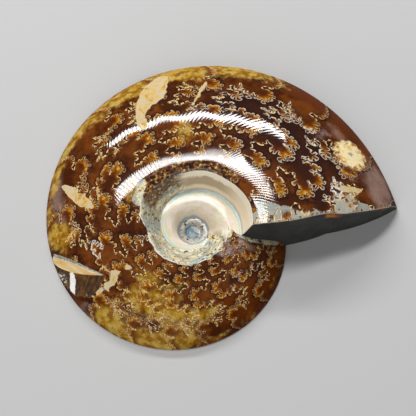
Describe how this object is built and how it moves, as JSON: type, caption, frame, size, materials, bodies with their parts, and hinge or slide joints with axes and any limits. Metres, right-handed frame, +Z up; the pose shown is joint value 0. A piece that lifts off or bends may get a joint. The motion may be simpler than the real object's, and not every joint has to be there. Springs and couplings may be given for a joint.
{
  "type": "ammonite fossil half",
  "caption": "Polished half of a coiled ammonite fossil, flat sawn face down, with a ground umbilicus, stone in its mouth and a chip in its rim.",
  "frame": {"origin": "centre of the shell's box on the flat sawn face it rests on", "axes": "+Z up, out of the sawn face through the polished flank; +X along the length, from the back of the coil to the lip of the mouth; +Y across, from the open side of the mouth to the back of the last whorl"},
  "size_m": [0.1008, 0.0868, 0.0177],
  "materials": {
    "polished_fossil": "polished red-brown calcite with cream suture lines, a pearly umbilicus and grey stone in the mouth"
  },
  "bodies": {
    "root": {"ammonite_half": "polished_fossil"}
  },
  "joints": []
}
